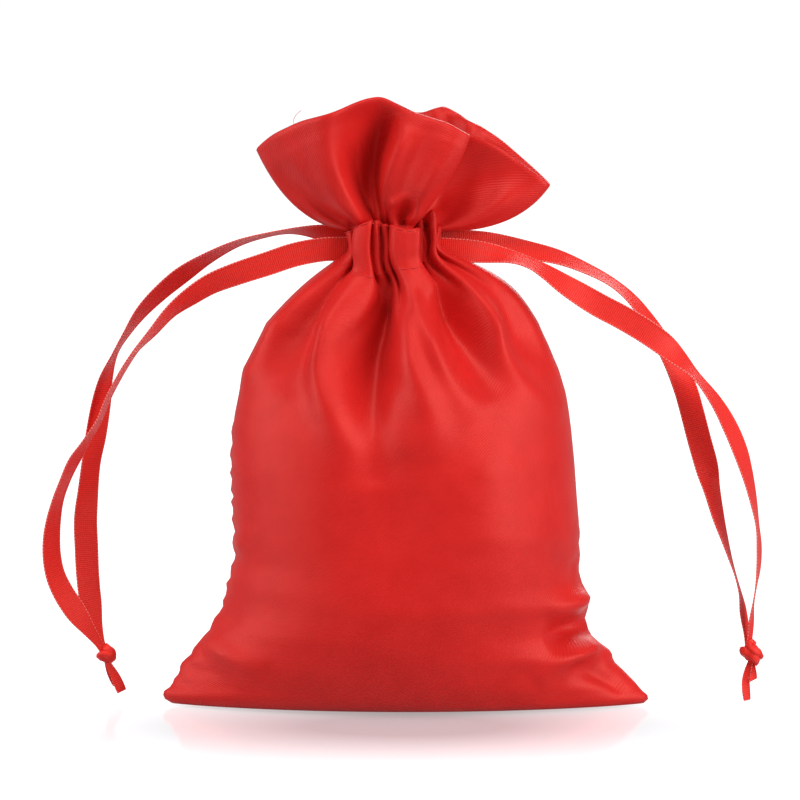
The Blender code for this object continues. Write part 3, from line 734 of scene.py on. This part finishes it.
def thread_tube(line, radius, sides=6):
    radius = np.full(len(line), radius)
    radius[0] = radius[-1] = radius[0] * 0.35
    vertices = []
    for centre, aside, beside, wide in zip(line, *square_to(line), radius):
        for k in range(sides):
            angle = 2 * math.pi * k / sides
            vertices.append(centre + wide * (aside * math.cos(angle) + beside * math.sin(angle)))
    return vertices, tube_faces(len(line), sides), [(0, 0)] * len(vertices)


stitches = []
for row in (first_channel_row, last_channel_row):
    seam = np.concatenate((grid[row], grid[row][:1]))
    seam = seam + unit((seam - np.array((neck_centre, 0, 0))) * np.array((1, 1, 0))) * 0.00008
    run = run_along(seam)
    for start in np.arange(0.0004, run[-1] - stitch_pitch, stitch_pitch):
        at = np.linspace(start, start + stitch_length, 6)
        line = np.stack([np.interp(at, run, seam[:, k]) for k in range(3)], axis=1)
        stitches.append(thread_tube(line, thread_radius))
loose_end = smooth_through(((-.0226, -.0090, .1192), (-.0227, -.0092, .1204), (-.0222, -.0093, .1214),
                            (-.0211, -.0094, .1224)), 0.0003)
stitches.append(thread_tube(loose_end, 0.00005))
thread = mesh_piece("sewing_thread", *join_parts(stitches))
thread_red = bpy.data.materials.new("red_thread")
thread_red.use_nodes = True
shader = thread_red.node_tree.nodes["Principled BSDF"]
shader.inputs["Base Color"].default_value = (0.60, 0.010, 0.010, 1)
shader.inputs["Roughness"].default_value = 0.5
thread.data.materials.append(thread_red)
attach(thread, "root")

# Floor: a glossy white studio table that carries on out of sight. Its white is painted glow from its own
# emission, not lamp light. Only a pool in front of the pouch is less than white, as painted shade, where
# its reflection shows.
bpy.ops.mesh.primitive_plane_add(size=6, location=(0, 0, -0.0002))
floor = bpy.context.object
floor.name = "studio_floor"
bpy.ops.object.transform_apply(location=True, rotation=True, scale=True)
white = bpy.data.materials.new("white_table")
white.use_nodes = True
shader = white.node_tree.nodes["Principled BSDF"]
shader.inputs["Base Color"].default_value = (0.40, 0.41, 0.44, 1)
shader.inputs["Specular IOR Level"].default_value = 0.8
shader.inputs["Roughness"].default_value = 0.09
shader.inputs["Emission Color"].default_value = (1, 1, 1, 1)
tree = white.node_tree
place = tree.nodes.new("ShaderNodeTexCoord")
place_scale = tree.nodes.new("ShaderNodeMapping")
place_scale.inputs["Location"].default_value = (0, 0.028, 0)
place_scale.inputs["Scale"].default_value = (0.62, 1, 1)
tree.links.new(place.outputs["Object"], place_scale.inputs["Vector"])
away = tree.nodes.new("ShaderNodeVectorMath")
away.operation = "LENGTH"
tree.links.new(place_scale.outputs["Vector"], away.inputs[0])
# Painted shade: the glow is held at 0.26 within 12 mm of a point just in front of the pouch, stretched
# sideways, and rises to full white 58 mm out. This is a painted contact shadow.
floor_glow_with_painted_pool = tree.nodes.new("ShaderNodeMapRange")
for socket, value in (("From Min", 0.012), ("From Max", 0.058), ("To Min", 0.26), ("To Max", 1.0)):
    floor_glow_with_painted_pool.inputs[socket].default_value = value
tree.links.new(away.outputs["Value"], floor_glow_with_painted_pool.inputs["Value"])
# Painted light: the camera sees this glow. Every other ray sees the floor glow at a faint 0.12, which
# lights the pouch from below like a bounce.
seen = tree.nodes.new("ShaderNodeLightPath")
level = tree.nodes.new("ShaderNodeMix")
level.inputs[2].default_value = 0.12
tree.links.new(seen.outputs["Is Camera Ray"], level.inputs[0])
tree.links.new(floor_glow_with_painted_pool.outputs["Result"], level.inputs[3])
tree.links.new(level.outputs[0], shader.inputs["Emission Strength"])
floor.data.materials.append(white)

# Light: a big soft box on each side, one above and a weaker one behind, and an even white
# surround. Place, size, power and how strongly each shows in the cloth's shine.
world = bpy.data.worlds.new("studio")
bpy.context.scene.world = world
world.use_nodes = True
tree = world.node_tree
background = tree.nodes["Background"]
background.inputs["Color"].default_value = (1, 1, 1, 1)
seen = tree.nodes.new("ShaderNodeLightPath")
level = tree.nodes.new("ShaderNodeMix")
level.inputs[2].default_value = 0.15
level.inputs[3].default_value = 1.05
mirrored = combine(tree, seen.outputs["Is Glossy Ray"], 0.18)
tree.links.new(combine(tree, seen.outputs["Is Camera Ray"], mirrored, "MAXIMUM"), level.inputs[0])
tree.links.new(level.outputs[0], background.inputs["Strength"])
for name, place, size, power, shine in (("left_box", (-0.92, -0.20, 0.28), 0.8, 6.2, 0.40),
                                        ("right_box", (0.82, -0.54, 0.34), 0.8, 9.4, 0.9),
                                        ("top_box", (-0.15, -0.46, 1.0), 0.6, 5.9, 0.6),
                                        ("back_box", (0.25, 0.95, 0.55), 0.6, 4.0, 1.0)):
    bpy.ops.object.light_add(type="AREA", location=place)
    lamp = bpy.context.object
    lamp.name = name
    lamp.data.size = size
    lamp.data.specular_factor = shine
    lamp.data.energy = power
    lamp.rotation_euler = (Vector((0, 0, 0.06)) - Vector(place)).to_track_quat("-Z", "Y").to_euler()
